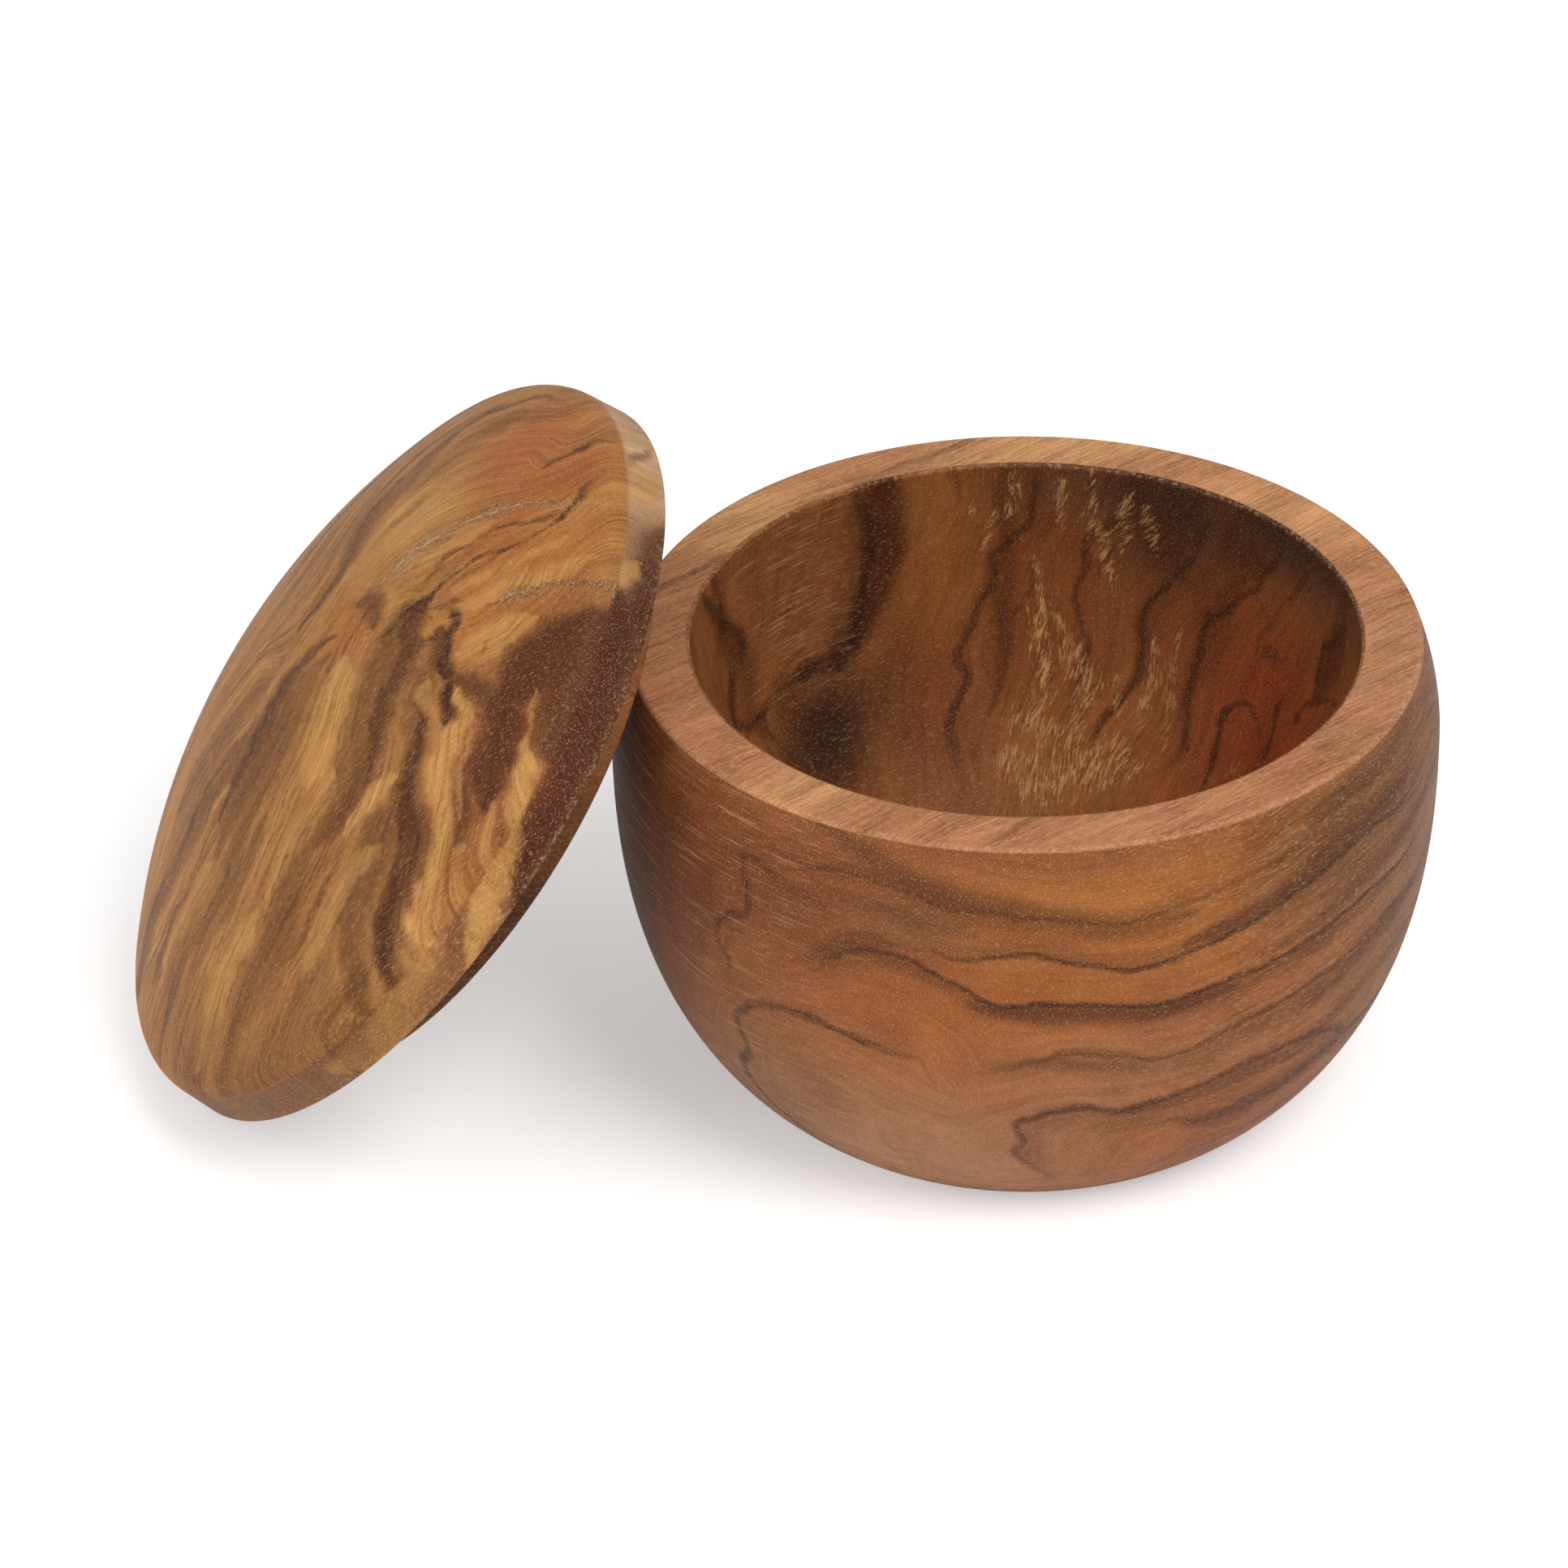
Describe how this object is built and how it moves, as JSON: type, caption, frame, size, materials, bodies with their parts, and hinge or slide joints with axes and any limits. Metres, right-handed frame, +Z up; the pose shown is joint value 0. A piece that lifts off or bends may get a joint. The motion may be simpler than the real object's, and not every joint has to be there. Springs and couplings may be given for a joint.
{
  "type": "lidded salt pot",
  "caption": "Round turned olive-wood salt pot, shown open: a thick-walled bowl and a loose domed lid with a spigot, leaning on the rim.",
  "frame": {"origin": "centre of the bowl's flat foot, on the table", "axes": "+Z up along the bowl's axis; -X towards the side on which the lid stands; the picture looks along +Y"},
  "size_m": [0.1609, 0.1066, 0.0808],
  "materials": {
    "bowl_wood": "sanded, oiled, satin",
    "lid_wood": "sanded, oiled, satin"
  },
  "bodies": {
    "bowl": {"bowl": "bowl_wood"},
    "lid": {"lid": "lid_wood"}
  },
  "joints": [
    {"name": "lid_lift", "type": "slide", "parent": "bowl", "child": "lid", "axis": [0, 0, 1], "range_m": [0, 0.08]}
  ]
}
